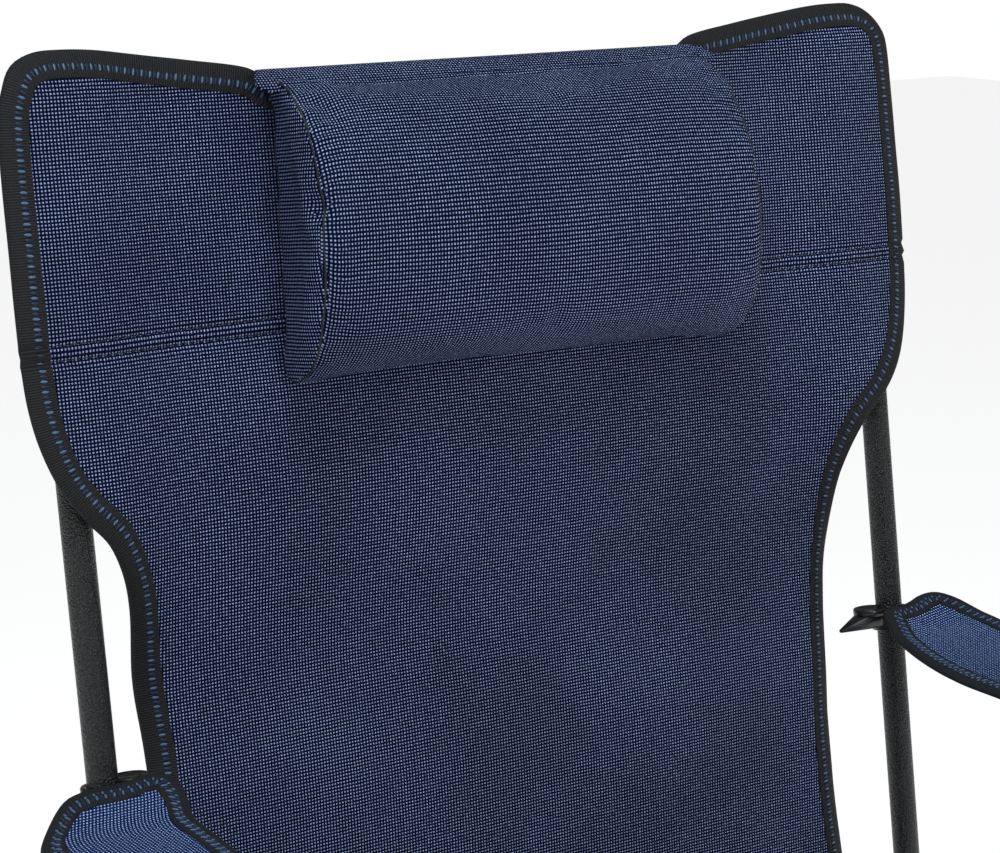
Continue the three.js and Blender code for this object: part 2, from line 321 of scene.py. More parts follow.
TAPE = tape_material()
PALE_THREAD = thread_material("pale_blue_thread", (0.10, 0.21, 0.40))
NAVY_THREAD = thread_material("navy_thread", (0.008, 0.022, 0.09))
BLACK_THREAD = thread_material("black_thread", (0.006, 0.006, 0.01))
COAT = coat_material()
PLASTIC = plastic_material()
RIVET = rivet_material()
print(len(bpy.data.materials), "materials")

# %% [markdown]
# ## Building meshes
#
# `add_piece` turns points in leaned space and faces into an object at the origin with a UV map.

# %% Mesh helpers
def add_piece(name, points, faces, materials, uvs=None, face_materials=None, smooth=True):
    mesh = bpy.data.meshes.new(name)
    mesh.from_pydata(place_all(points).tolist(), [], [list(map(int, f)) for f in faces])
    for material in materials:
        mesh.materials.append(material)
    if face_materials is not None:
        mesh.polygons.foreach_set("material_index", np.asarray(face_materials, np.int32))
    mesh.polygons.foreach_set("use_smooth", np.full(len(mesh.polygons), smooth))
    layer = mesh.uv_layers.new(name="UVMap")
    if uvs is not None:
        loops = np.zeros(len(mesh.loops), np.int32)
        mesh.loops.foreach_get("vertex_index", loops)
        layer.data.foreach_set("uv", np.asarray(uvs, np.float32)[loops].ravel())
    mesh.update()
    piece = bpy.data.objects.new(name, mesh)
    bpy.context.scene.collection.objects.link(piece)
    return piece


def smooth_outline(corners, step, closed=True):
    """A Catmull-Rom curve through the corners, resampled evenly."""
    p = np.asarray(corners, float)
    n = len(p)
    dense = []
    for i in range(n if closed else n - 1):
        if closed:
            a, b, c, d = p[i - 1], p[i], p[(i + 1) % n], p[(i + 2) % n]
        else:
            a, b, c, d = p[max(i - 1, 0)], p[i], p[i + 1], p[min(i + 2, n - 1)]
        for t in np.linspace(0, 1, 24, endpoint=False):
            dense.append(0.5 * (2 * b + (c - a) * t + (2 * a - 5 * b + 4 * c - d) * t * t
                                + (3 * b - a - 3 * c + d) * t ** 3))
    if not closed:
        dense.append(p[-1])
    dense = np.array(dense)
    loop = np.vstack([dense, dense[:1]]) if closed else dense
    length = np.concatenate([[0], np.cumsum(np.linalg.norm(np.diff(loop, axis=0), axis=1))])
    count = max(8, int(round(length[-1] / step)))
    at = np.linspace(0, length[-1], count, endpoint=not closed)
    return np.stack([np.interp(at, length, loop[:, k]) for k in (0, 1)], 1)


def inward_normals(outline, closed=True):
    if closed:
        along = np.roll(outline, -1, 0) - np.roll(outline, 1, 0)
    else:
        along = np.gradient(outline, axis=0)
    along /= np.linalg.norm(along, axis=1, keepdims=True)
    return np.stack([-along[:, 1], along[:, 0]], 1)


def surface_normals(surface, flat):
    e = 0.5
    du = surface(flat + [e, 0]) - surface(flat - [e, 0])
    dv = surface(flat + [0, e]) - surface(flat - [0, e])
    normal = np.cross(du, dv)
    return normal / np.linalg.norm(normal, axis=1, keepdims=True)


def inside(outline, points):
    x, y = points[:, 0], points[:, 1]
    result = np.zeros(len(points), bool)
    for (x0, y0), (x1, y1) in zip(outline, np.roll(outline, -1, 0)):
        crosses = (y0 > y) != (y1 > y)
        slope = (x1 - x0) / (y1 - y0) if y1 != y0 else 0
        result ^= crosses & (x < x0 + (y - y0) * slope)
    return result


# %% [markdown]
# A sheet is cut flat: the outline and a grid of points are triangulated, both faces are lifted on to
# the surface, and a narrow edge closes it. The flat cut also gives the weave its coordinates.

# %% Cloth sheet, tape and stitches
def cloth_sheet(name, outline, surface, step, thickness, material, extra_rows=()):
    low, high = outline.min(0), outline.max(0)
    rows = list(np.arange(low[1] + step / 2, high[1], step)) + list(extra_rows)
    grid = np.array([(x, y) for j, y in enumerate(sorted(rows))
                     for x in np.arange(low[0] + step / 2 * (1 + j % 2), high[0], step)])
    shrunk = outline + inward_normals(outline) * step * 0.45
    grid = grid[inside(shrunk, grid)]
    edge = len(outline)
    flat = [Vector(p) for p in np.vstack([outline, grid])]
    ring = [(i, (i + 1) % edge) for i in range(edge)]
    verts, _, faces, *_ = geometry.delaunay_2d_cdt(flat, ring, [], 1, 1e-5)
    flat = np.array([tuple(v) for v in verts])
    faces = np.array([f for f in faces], int)
    count = len(flat)
    a, b, c = flat[faces[:, 0]], flat[faces[:, 1]], flat[faces[:, 2]]
    turn = (b[:, 0] - a[:, 0]) * (c[:, 1] - a[:, 1]) - (b[:, 1] - a[:, 1]) * (c[:, 0] - a[:, 0])
    faces[turn < 0] = faces[turn < 0][:, ::-1]
    middle = surface(flat)
    normal = surface_normals(surface, flat)
    points = np.vstack([middle + normal * thickness / 2, middle - normal * thickness / 2])
    sides = {}
    for f in faces:
        for i in range(3):
            i0, i1 = int(f[i]), int(f[(i + 1) % 3])
            if (i1, i0) in sides:
                del sides[(i1, i0)]
            else:
                sides[(i0, i1)] = True
    all_faces = [tuple(f) for f in faces] + [tuple(f[::-1] + count) for f in faces]
    all_faces += [(i1, i0, i0 + count, i1 + count) for i0, i1 in sides]
    uvs = np.vstack([flat, flat]) / 1000
    return add_piece(name, points, all_faces, [material], uvs)


def sweep(name, outline, surface, section, material, closed=True):
    """Carries a section of (inward distance, height) along an outline on a surface."""
    normals = inward_normals(outline, closed)
    rings, uvs = [], []
    length = np.concatenate([[0], np.cumsum(np.linalg.norm(np.diff(outline, axis=0), axis=1))])
    travel = 0.0
    for i, (d, h) in enumerate(section):
        flat = outline + normals * d
        rings.append(surface(flat) + surface_normals(surface, flat) * h)
        if i:
            travel += math.hypot(d - section[i - 1][0], h - section[i - 1][1])
        uvs.append(np.stack([length, np.full(len(length), travel)], 1) / 1000)
    n, m = len(outline), len(section)
    points = np.stack(rings, 1).reshape(-1, 3)
    uvs = np.stack(uvs, 1).reshape(-1, 2)
    faces = []
    for i in range(n if closed else n - 1):
        k = (i + 1) % n
        for j in range(m):
            l = (j + 1) % m
            faces.append((i * m + j, k * m + j, k * m + l, i * m + l))
    if not closed:
        faces += [tuple(range(m)), tuple(range((n - 1) * m, n * m))[::-1]]
    return add_piece(name, points, faces, [material], uvs)


def tape_section(width, thickness, lift=0.9):
    t = thickness / 2
    return [
        (width, t - 0.3), (width, t + 0.5), (width - 0.6, t + lift),
        (width * 0.5, t + lift + 0.15), (3, t + lift),
        (0.2, t + lift * 0.8), (-1.1, t * 0.6), (-1.4, 0), (-1.1, -t * 0.6), (0.2, -t - lift * 0.8),
        (3, -t - lift), (width - 0.6, -t - lift), (width, -t - 0.5), (width, -t + 0.3),
    ]


def bead(length, width, height, sides=6, rings=4):
    """One stitch: a low rounded bead along its own x."""
    points, faces = [], []
    for i in range(rings + 1):
        t = -1 + 2 * i / rings
        reach = math.sqrt(max(0.0, 1 - abs(t) ** 2.4)) * 0.97 + 0.03
        for j in range(sides):
            a = 2 * math.pi * j / sides
            points.append((t * length / 2, math.cos(a) * width / 2 * reach, math.sin(a) * height * reach))
    for i in range(rings):
        for j in range(sides):
            k = (j + 1) % sides
            faces.append((i * sides + j, i * sides + k, (i + 1) * sides + k, (i + 1) * sides + j))
    faces.append(tuple(range(sides)))
    faces.append(tuple(range(rings * sides, (rings + 1) * sides))[::-1])
    return np.array(points), faces


def stitch_row(name, outline, surface, inset, pitch, lift, size, materials,
               closed=True, slant=0.0, across=True):
    """Beads at an even pitch along an outline. With two materials they alternate."""
    walk = np.vstack([outline, outline[:1]]) if closed else outline
    inner = outline + inward_normals(outline, closed) * inset
    walk = np.vstack([inner, inner[:1]]) if closed else inner
    length = np.concatenate([[0], np.cumsum(np.linalg.norm(np.diff(walk, axis=0), axis=1))])
    count = int(length[-1] / pitch)
    shape, shape_faces = bead(*size)
    at = (np.arange(count) + 0.5) * length[-1] / count
    flat = np.stack([np.interp(at, length, walk[:, k]) for k in (0, 1)], 1)
    ahead = np.stack([np.interp(at + 0.5, length, walk[:, k]) for k in (0, 1)], 1) - flat
    ahead /= np.linalg.norm(ahead, axis=1, keepdims=True) + 1e-9
    normal = surface_normals(surface, flat)
    centre = surface(flat) + normal * lift
    run = surface(flat + ahead) - surface(flat)
    run /= np.linalg.norm(run, axis=1, keepdims=True)
    side = np.cross(normal, run)
    points, faces, groups = [], [], []
    for i in range(count):
        tilt = slant + 0.12 * noise.noise(Vector((i * 1.7, inset, 3.1)))
        a = side[i] * math.cos(tilt) + run[i] * math.sin(tilt)
        b = run[i] * math.cos(tilt) - side[i] * math.sin(tilt)
        first, second = (a, b) if across else (b, a)
        base = len(points)
        points.extend(centre[i] + shape[:, :1] * first + shape[:, 1:2] * second + shape[:, 2:] * normal[i])
        faces.extend([tuple(base + np.array(f)) for f in shape_faces])
        groups.extend([i % len(materials)] * len(shape_faces))
    return add_piece(name, np.array(points), faces, materials, None, groups)


# %% [markdown]
# ## Frame
#
# Posts and scissor tubes are turned again with a fine surface. Hubs, collars, boots and rivets keep
# their CAD shape and take the new finishes.

# %% Turned posts
def turned(name, profile, centre, material, sides=40, axis=(0, 0, 1), caps=False):
    """Spins (radius, height) pairs round an axis through centre, in leaned space."""
    axis = Vector(axis).normalized()
    first = axis.orthogonal().normalized()
    mesh = bmesh.new()
    line = [mesh.verts.new(Vector(centre) + axis * z + first * r) for r, z in profile]
    edges = [mesh.edges.new(pair) for pair in zip(line, line[1:])]
    if not caps:
        edges.append(mesh.edges.new((line[-1], line[0])))
    bmesh.ops.spin(mesh, geom=line + edges, cent=Vector(centre), axis=axis, angle=2 * math.pi,
                   steps=sides, use_merge=True)
    bmesh.ops.remove_doubles(mesh, verts=mesh.verts, dist=0.001)
    if caps:
        bmesh.ops.holes_fill(mesh, edges=[e for e in mesh.edges if e.is_boundary])
    bmesh.ops.recalc_face_normals(mesh, faces=mesh.faces)
    layer = mesh.loops.layers.uv.new("UVMap")
    second = axis.cross(first)
    for face in mesh.faces:
        face.smooth = True
        middle = face.calc_center_median() - Vector(centre)
        home = math.atan2(middle.dot(second), middle.dot(first))
        for loop in face.loops:
            arm = loop.vert.co - Vector(centre)
            turn = math.atan2(arm.dot(second), arm.dot(first))
            turn += 2 * math.pi * round((home - turn) / (2 * math.pi))
            radius = math.hypot(arm.dot(first), arm.dot(second))
            loop[layer].uv = (turn * radius / 1000, arm.dot(axis) / 1000)
    for vert in mesh.verts:
        vert.co = place(*vert.co)
    data = bpy.data.meshes.new(name)
    mesh.to_mesh(data)
    mesh.free()
    data.materials.append(material)
    piece = bpy.data.objects.new(name, data)
    bpy.context.scene.collection.objects.link(piece)
    return piece


def tube_profile(outer, inner, low, high):
    return [(inner, low), (outer - 0.3, low), (outer, low + 0.3),
            (outer, high - 0.3), (outer - 0.3, high), (inner, high)]


SIDES = {"left": -1, "right": 1}
BODY = {
    "front_left": "front_left_leg", "front_right": "front_right_leg",
    "rear_left": "rear_left_leg", "rear_right": "rear_right_leg",
}
for tag, body in BODY.items():
    node = f"post_{tag}"
    end = -1 if tag.startswith("front") else 1
    side = SIDES[tag.split("_")[1]]
    low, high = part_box(node)
    spread = POST_RADIUS / 1000 * math.sin(LEAN)
    bottom = (low[2] + spread - ORIGIN.z + end * 0.3 * math.sin(LEAN)) / math.cos(LEAN) * 1000
    top = (high[2] - spread - ORIGIN.z + end * 0.3 * math.sin(LEAN)) / math.cos(LEAN) * 1000
    post = turned(f"{node}_tube", tube_profile(9, 7.8, bottom, top), (side * HALF, end * HALF, 0), COAT)
    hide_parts(node)
    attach(post, body)
    print(node, round(bottom, 1), round(top, 1))

# %% Scissor tubes
SPAN = 2 * (HALF - PIVOT)
TUBE_LENGTH = 575.0
COLLAR = math.sqrt(TUBE_LENGTH ** 2 - SPAN ** 2)
OFFSET = 11.5
for tag in ("front", "rear", "left", "right"):
    for kind, way in (("rising", 1), ("falling", -1)):
        if tag in ("front", "rear"):
            centre = (0, (-HALF if tag == "front" else HALF) - way * OFFSET, COLLAR / 2)
            axis = (way * SPAN, 0, COLLAR)
        else:
            centre = (SIDES[tag] * HALF + way * OFFSET, 0, COLLAR / 2)
            axis = (0, way * SPAN, COLLAR)
        node = f"scissor_tube_{tag}_{kind}"
        reach = TUBE_LENGTH / 2 + 12
        profile = [(0.3, -reach), (5.5, -reach + 0.4), (7.6, -reach + 2), (8, -reach + 5)]
        profile += [(8, reach - 5), (7.6, reach - 2), (5.5, reach - 0.4), (0.3, reach)]
        tube = turned(f"{node}_round", profile, centre, COAT, 32, axis, caps=True)
        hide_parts(node)
        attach(tube, f"{tag}_{kind}_tube")

# %% Finishes on the CAD parts
for name, part in frame["nodes"].items():
    if name.startswith(("lower_hub", "sliding_collar", "foot_boot", "arm_cap", "arm_clip", "post_plug")):
        finish = PLASTIC
    elif "rivet" in name:
        finish = RIVET
    else:
        continue
    if not part.material_slots:
        continue
    for slot in part.material_slots:
        slot.material = finish
print("frame finished")

# %% [markdown]
# ## Back panel
#
# One sheet runs down the front of the rear posts. It bulges over each post, turns back along the edge
# of each wing, and hangs a little behind the posts below the wings, where nothing holds its sides out.

# %% Back panel
THICK = 2.6
BACK_SIDE = [
    (288, 326), (283, 366), (273, 420), (267, 470), (261, 520), (258, 570), (259, 640), (264, 690),
    (269, 735), (282, 768), (300, 789), (314, 811), (323, 842), (326, 880), (326, 946), (325, 1000),
    (322, 1024), (314, 1039), (300, 1046), (282, 1047), (262, 1046), (238, 1043), (202, 1038),
    (165, 1032), (140, 1022), (60, 1018),
]
WING_DROP = 4.0
back_corners = [(x, z) for x, z in BACK_SIDE]
back_corners += [(-x, z - WING_DROP * (z > 1020)) for x, z in reversed(BACK_SIDE)]
back_outline = smooth_outline(back_corners, 4.0)
SEAMS = (884.0, 876.0)
WING_TURN = 4.0


def smoothstep(low, high, value):
    t = np.clip((value - low) / (high - low), 0, 1)
    return t * t * (3 - 2 * t)


def ripples(flat, scale, amount, seed):
    return np.array([noise.noise(Vector((p[0] / scale, p[1] / scale * 0.6, seed))) for p in flat]) * amount


def back_forward(flat):
    """How far the cloth stands in front of the rear posts' middle plane."""
    x, z = np.abs(flat[:, 0]), flat[:, 1]
    over_post = smoothstep(215, 291, x)
    upper = -2 + 14.6 * over_post - WING_TURN * (np.clip(x - 303, 0, 40) / 24) ** 2
    upper -= 8 * smoothstep(1022, 1047, z) * over_post
    lower = -18 - 10 * smoothstep(620, 440, z) * smoothstep(330, 420, z) 
    lower -= 7 * (1 - (x / 262) ** 2) * smoothstep(326, 430, z)
    lower += 33 * (1 - smoothstep(326, 430, z))
    edge = np.interp(z, [corner[1] for corner in BACK_SIDE[:12]], [corner[0] for corner in BACK_SIDE[:12]])
    lower -= 6 * (np.clip(x - edge + 22, 0, 40) / 22) ** 2
    blend = smoothstep(662, 800, z)
    forward = lower + (upper - lower) * blend
    for seam in SEAMS:
        forward -= 1.5 * np.exp(-((z - seam) / 1.5) ** 2)
    forward += 0.8 * np.exp(-((z - 880) / 3.2) ** 2)
    forward -= 2.2 * np.exp(-((z - 880) / 26) ** 2) * (1 - over_post)
    return forward


def back_surface(flat):
    flat = np.asarray(flat, float)
    forward = back_forward(flat) + ripples(flat, 60, 1.3, 1.0) + ripples(flat, 22, 0.35, 4.0)
    return np.stack([flat[:, 0], HALF - forward, flat[:, 1]], 1)


seam_rows = [s + d for s in SEAMS for d in (-2.2, -1.1, 0, 1.1, 2.2)]
back_panel = cloth_sheet("back_cloth", back_outline, back_surface, 6.0, THICK, WEAVE, seam_rows)
print("back", len(back_panel.data.vertices), "points")

# %% [markdown]
# The binding is one tape folded over the whole edge, with a row of pale and navy stitches set in from
# the edge, and the double seam is two rows of black thread sunk in the cloth.

# %% Back binding and seams
TAPE_WIDTH = 15.0
ROW = 9.2


def bind(name, outline, surface, thickness, width=TAPE_WIDTH, row=ROW, closed=True, pitch=2.85, slant=0.1):
    tape = sweep(f"{name}_binding", outline, surface, tape_section(width, thickness), TAPE, closed)
    top = thickness / 2 + 1.05
    pieces = [tape]
    pieces.append(stitch_row(f"{name}_stitches", outline, surface, row, pitch, top, (4.5, 1.6, 0.55),
                             [PALE_THREAD, NAVY_THREAD], closed, slant))
    return pieces


back_trim = bind("back", back_outline, back_surface, THICK)
for i, z in enumerate(SEAMS):
    line = np.array([(x, z) for x in np.linspace(306, -306, 150)])
    back_trim.append(stitch_row(f"back_seam_{i + 1}", line, back_surface, 0, 3.4, THICK / 2 - 0.1,
                                (3.3, 1.6, 0.6), [BLACK_THREAD], False, 0, False))
print("trim", [len(p.data.vertices) for p in back_trim])

# %% [markdown]
# Behind each wing a pocket goes round the post. It is a second sheet, sewn to the panel on the inner side
# and along the wing's edge.

# %% Wing pockets
def pocket_surface(side):
    def surface(flat):
        flat = np.asarray(flat, float)
        x, z = np.abs(flat[:, 0]), flat[:, 1]
        front = back_forward(np.stack([x, z], 1)) - 2.4
        swell = np.clip(1 - ((x - 299) / 19) ** 2, 0, 1) ** 0.6
        behind = front * (1 - swell) + (-12.0) * swell
        behind = np.minimum(behind, front)
        return np.stack([flat[:, 0], HALF - behind, z], 1)
    return surface


pockets = []
for tag, side in SIDES.items():
    edge = [(276, 822), (290, 818), (306, 820), (315, 828), (319.5, 850), (322.5, 900),
            (322.5, 985), (319, 1006),
            (312, 1022), (302, 1032), (291, 1037), (280, 1037), (273, 1026), (272, 960), (272, 860)]
    outline = np.array([(side * x, z) for x, z in (edge if side > 0 else edge[::-1])])
    outline = smooth_outline(outline, 4.0)
    pocket = cloth_sheet(f"pocket_{tag}", outline, pocket_surface(side), 5.0, 1.4, WEAVE)
    pockets.append(pocket)
print("pockets done")

# %% How the back follows the fold
def follow_back(piece):
    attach(piece, "rear_left_leg")
    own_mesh(piece)


def half_area(piece):
    return sum(p.area for p in piece.data.polygons) / 2


# area is each finished piece's own area here and not its flat cut's, so it can't show stretched cloth.
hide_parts("back_panel")
for tag, pocket in zip(SIDES, pockets):
    print(pocket.name, round(half_area(pocket), 5))
for piece in [back_panel, *back_trim]:
    follow_back(piece)
for tag, pocket in zip(SIDES, pockets):
    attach(pocket, f"rear_{tag}_leg")
print("back panel area", round(half_area(back_panel), 4))

# %% [markdown]
# ## Headrest pillow
#
# The pillow starts as a slightly slack D-shaped block, is remeshed, and is then blown up by a cloth
# simulation. How far a point may move is capped.

# %% Pillow block and simulation
PILLOW_HALF = 160.0
D_SECTION = [
    (3, 847), (3, 890), (3, 940), (3, 990), (3, 1026), (12, 1025), (27, 1017), (43, 999), (55, 971),
    (60, 940), (59, 908), (53, 881), (43, 860), (28, 847), (12, 843),
]
section = smooth_outline(D_SECTION, 6.0)


def pillow_block():
    points, faces = [], []
    stations = np.linspace(-PILLOW_HALF, PILLOW_HALF, 41)
    m = len(section)
    for x in stations:
        for f, z in section:
            points.append((x, HALF - f, z))
    for i in range(len(stations) - 1):
        for j in range(m):
            k = (j + 1) % m
            faces.append((i * m + j, i * m + k, (i + 1) * m + k, (i + 1) * m + j))
    faces.append(tuple(range(m))[::-1])
    last = (len(stations) - 1) * m
    faces.append(tuple(range(last, last + m)))
    return add_piece("headrest_cloth", np.array(points), faces, [WEAVE])


def bake_modifiers(piece):
    bpy.context.view_layer.update()
    graph = bpy.context.evaluated_depsgraph_get()
    mesh = bpy.data.meshes.new_from_object(piece.evaluated_get(graph))
    old = piece.data
    piece.modifiers.clear()
    piece.data = mesh
    bpy.data.meshes.remove(old)


def to_leaned(points):
    p = (np.asarray(points, float) - np.array(ORIGIN)) * 1000
    return np.stack([p[:, 0], p @ np.array(BACK), p @ np.array(UP)], 1)


def inflate(piece, pressure, cap):
    """Runs the cloth for 20 frames and keeps a capped share of the swelling."""
    scene = bpy.context.scene
    scene.frame_set(1)
    cloth = piece.modifiers.new("cloth", "CLOTH")
    cloth.settings.quality = 6
    cloth.settings.mass = 0.3
    cloth.settings.use_pressure = True
    cloth.settings.uniform_pressure_force = pressure
    cloth.settings.effector_weights.gravity = 0
    cloth.settings.tension_stiffness = 14
    cloth.settings.compression_stiffness = 8
    cloth.settings.bending_stiffness = 0.4
    cloth.point_cache.frame_start = 1
    cloth.point_cache.frame_end = 20
    for step in range(1, 21):
        scene.frame_set(step)
    count = len(piece.data.vertices)
    start = np.zeros(count * 3)
    piece.data.vertices.foreach_get("co", start)
    graph = bpy.context.evaluated_depsgraph_get()
    blown = piece.evaluated_get(graph).to_mesh()
    end = np.zeros(count * 3)
    blown.vertices.foreach_get("co", end)
    piece.evaluated_get(graph).to_mesh_clear()
    move = (end - start).reshape(-1, 3)
    reach = np.linalg.norm(move, axis=1, keepdims=True)
    move *= np.minimum(1, cap / np.maximum(reach, 1e-9))
    piece.modifiers.clear()
    scene.frame_set(1)
    piece.data.vertices.foreach_set("co", (start.reshape(-1, 3) + move).ravel())
    return float(reach.max())


pillow = pillow_block()
remesh = pillow.modifiers.new("remesh", "REMESH")
remesh.mode = "VOXEL"
remesh.voxel_size = 0.0055
bake_modifiers(pillow)
print("pillow swelled by", round(inflate(pillow, 4.0, 0.007), 4), "m before the cap")
subdivision = pillow.modifiers.new("subdivision", "SUBSURF")
subdivision.levels = subdivision.render_levels = 1
bake_modifiers(pillow)

# %% [markdown]
# After the simulation the pillow gets its sewn detail: the cloth dips along both end seams and the
# top seam, puckers beside them, and rests flat on the back.

# %% Pillow dents and creases
points = np.zeros(len(pillow.data.vertices) * 3)
pillow.data.vertices.foreach_get("co", points)
leaned = to_leaned(points.reshape(-1, 3))
x, forward_of, z = leaned[:, 0], HALF - leaned[:, 1], leaned[:, 2]
centre_f, centre_z = 24.0, 938.0
outward = np.stack([np.zeros(len(x)), -(forward_of - centre_f), z - centre_z], 1)
outward /= np.linalg.norm(outward, axis=1, keepdims=True) + 1e-9
seam_at = 157.0
near_seam = np.exp(-((np.abs(x) - seam_at) / 2.0) ** 2)
angle = np.arctan2(z - centre_z, forward_of - centre_f)
pucker = np.sin(angle * 46 + 1.5 * np.sin(angle * 7)) * np.exp(-((np.abs(x) - seam_at + 9) / 9) ** 2)
slack = np.array([noise.noise(Vector((a / 70, b / 45, 7.3))) for a, b in zip(x, z)])
dent = -1.3 * near_seam + 0.5 * pucker + 1.6 * slack
top_seam = np.exp(-((forward_of - 21.5) / 2.2) ** 2) * (z > 990)
dent -= 1.8 * top_seam
creases = np.sin(x / 7 + 2 * np.sin(x / 23)) * np.exp(-((forward_of - 28) / 7) ** 2) * (z > 980)
dent += 0.7 * creases * (0.35 + 0.65 * smoothstep(-40, -140, x))
front_side = smoothstep(6, 14, forward_of)
leaned += outward * (dent * front_side)[:, None]
leaned[:, 1] = np.minimum(leaned[:, 1], HALF - 2.2)


def skew(points):
    """The pillow hangs a little lopsided: its lower corners reach out, and the right one is lower."""
    points = np.array(points, float)
    down = np.clip(1 - (points[:, 2] - 845) / 175, 0, 1.1)
    points[:, 0] -= (8 * down * smoothstep(60, -160, points[:, 0])
                     - 3 * down * smoothstep(-60, 160, points[:, 0]))
    points[:, 2] -= 3.5 * down * (1 + points[:, 0] / 160)
    return points


straight = leaned
pillow.data.vertices.foreach_set("co", place_all(skew(straight)).ravel())
pillow.data.update()

# %% Pillow weave coordinates
loop = np.vstack([section, section[:1]])
walked = np.concatenate([[0], np.cumsum(np.linalg.norm(np.diff(loop, axis=0), axis=1))])
loop_angle = np.arctan2(loop[:, 1] - centre_z, loop[:, 0] - centre_f)
order = np.argsort(loop_angle[:-1])


def pillow_uv(piece):
    mesh = piece.data
    if not mesh.uv_layers:
        mesh.uv_layers.new(name="UVMap")
    co = np.zeros(len(mesh.vertices) * 3)
    mesh.vertices.foreach_get("co", co)
    p = straight
    f, z = HALF - p[:, 1], p[:, 2]
    turn = np.arctan2(z - centre_z, f - centre_f)
    along = np.interp(turn, loop_angle[:-1][order], np.unwrap(walked[:-1][order], period=walked[-1]),
                      period=2 * math.pi)
    uv = np.zeros((len(mesh.loops), 2))
    for polygon in mesh.polygons:
        sideways = abs(polygon.normal.x) > 0.72
        for i in polygon.loop_indices:
            v = mesh.loops[i].vertex_index
            uv[i] = (f[v], z[v]) if sideways else (p[v, 0], along[v])
        if not sideways:
            block = uv[list(polygon.loop_indices), 1]
            if block.max() - block.min() > walked[-1] / 2:
                block[block < walked[-1] / 2] += walked[-1]
                uv[list(polygon.loop_indices), 1] = block
    mesh.uv_layers[0].data.foreach_set("uv", (uv / 1000).ravel())
    mesh.polygons.foreach_set("use_smooth", np.full(len(mesh.polygons), True))
    mesh.materials.clear()
    mesh.materials.append(WEAVE)


pillow_uv(pillow)
print("pillow", len(pillow.data.polygons), "faces")

# %% [markdown]
# A fine raised seam follows each end of the pillow, snapped to the swollen cloth. The flap leaves the
# pillow's top seam, goes over the top of the back and is sewn down behind it.

# %% Pillow end seams
def tube_along(name, path, radius, material, sides=8, closed=True, pitch=None):
    path = np.asarray(path, float)
    n = len(path)
    along = np.roll(path, -1, 0) - np.roll(path, 1, 0) if closed else np.gradient(path, axis=0)
    along /= np.linalg.norm(along, axis=1, keepdims=True)
    first = np.cross(along, [1.0, 0.02, 0.01])
    first /= np.linalg.norm(first, axis=1, keepdims=True)
    second = np.cross(along, first)
    length = np.concatenate([[0], np.cumsum(np.linalg.norm(np.diff(path, axis=0), axis=1))])
    points, uvs, faces = [], [], []
    for i in range(n):
        thick = radius * (1 + 0.18 * math.sin(2 * math.pi * length[i] / pitch)) if pitch else radius
        for j in range(sides):
            a = 2 * math.pi * j / sides
            points.append(path[i] + first[i] * math.cos(a) * thick + second[i] * math.sin(a) * thick)
            uvs.append((a * radius / 1000, length[i] / 1000))
    for i in range(n if closed else n - 1):
        k = (i + 1) % n
        for j in range(sides):
            l = (j + 1) % sides
            faces.append((i * sides + j, k * sides + j, k * sides + l, i * sides + l))
    if not closed:
        faces += [tuple(range(sides)), tuple(range((n - 1) * sides, n * sides))[::-1]]
    return add_piece(name, np.array(points), faces, [material], uvs)


tree = BVHTree.FromPolygons([Vector(p) for p in place_all(straight)],
                            [p.vertices for p in pillow.data.polygons])
fine_section = smooth_outline(D_SECTION, 2.5)
pillow_trim = []
for tag, side in SIDES.items():
    path = []
    for f, z in fine_section:
        if f < 8:
            f = 4
        spot = place(side * (seam_at + 1), HALF - f - (f - centre_f) * 0.1, z + (z - centre_z) * 0.04)
        hit = tree.find_nearest(spot)[0]
        path.append(to_leaned([hit])[0])
    path = np.array(path)
    for _ in range(3):
        path = (np.roll(path, 1, 0) + 2 * path + np.roll(path, -1, 0)) / 4
    path[:, 1] = np.minimum(path[:, 1], HALF - 3)
    pillow_trim.append(tube_along(f"pillow_seam_{tag}", skew(path), 0.6, BLACK_THREAD, 8, True, 2.4))

# %% Pillow flap
FLAP_PATH = np.array([
    (20, 1012), (17, 1016.5), (11, 1022), (4, 1026), (-2, 1026.5), (-6, 1023.5), (-8.5, 1017), (-9.5, 1007),
    (-9.5, 990), (-9.5, 968),
])
flap_line = smooth_outline(FLAP_PATH, 1.5, closed=False)
flap_length = np.concatenate([[0], np.cumsum(np.linalg.norm(np.diff(flap_line, axis=0), axis=1))])


def flap_surface(flat):
    flat = np.asarray(flat, float)
    f = np.interp(flat[:, 1], flap_length, flap_line[:, 0])
    z = np.interp(flat[:, 1], flap_length, flap_line[:, 1])
    f = f + 0.8 * ripples(flat, 30, 1.0, 11.0)
    return np.stack([flat[:, 0], HALF - f, z], 1)


flap_outline = smooth_outline(np.array([
    (157, 0.5), (158, 30), (158, 70), (154, flap_length[-1] - 1), (0, flap_length[-1] - 0.5),
    (-154, flap_length[-1] - 1), (-158, 70), (-158, 30), (-157, 0.5), (0, 0.5),
]), 4.0)
flap_outline[:, 1] = np.clip(flap_outline[:, 1], 0.5, flap_length[-1] - 0.5)
flap = cloth_sheet("pillow_flap", flap_outline, flap_surface, 3.0, 1.6, WEAVE)
seam_line = np.array([(x, 2.2) for x in np.linspace(154, -154, 120)])
pillow_trim.append(stitch_row("flap_seam", seam_line, flap_surface, 0, 3.0, 0.9, (2.8, 1.3, 0.55),
                              [BLACK_THREAD], False, 0, False))
back_line = np.array([(x, flap_length[-1] - 5) for x in np.linspace(150, -150, 120)])
pillow_trim.append(stitch_row("flap_back_seam", back_line, flap_surface, 0, 3.2, 0.75, (2.7, 0.7, 0.3),
                              [PALE_THREAD], False, 0, False))
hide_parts("headrest_pillow")
for piece in [pillow, flap, *pillow_trim]:
    follow_back(piece)
print("flap length", round(float(flap_length[-1]), 1))

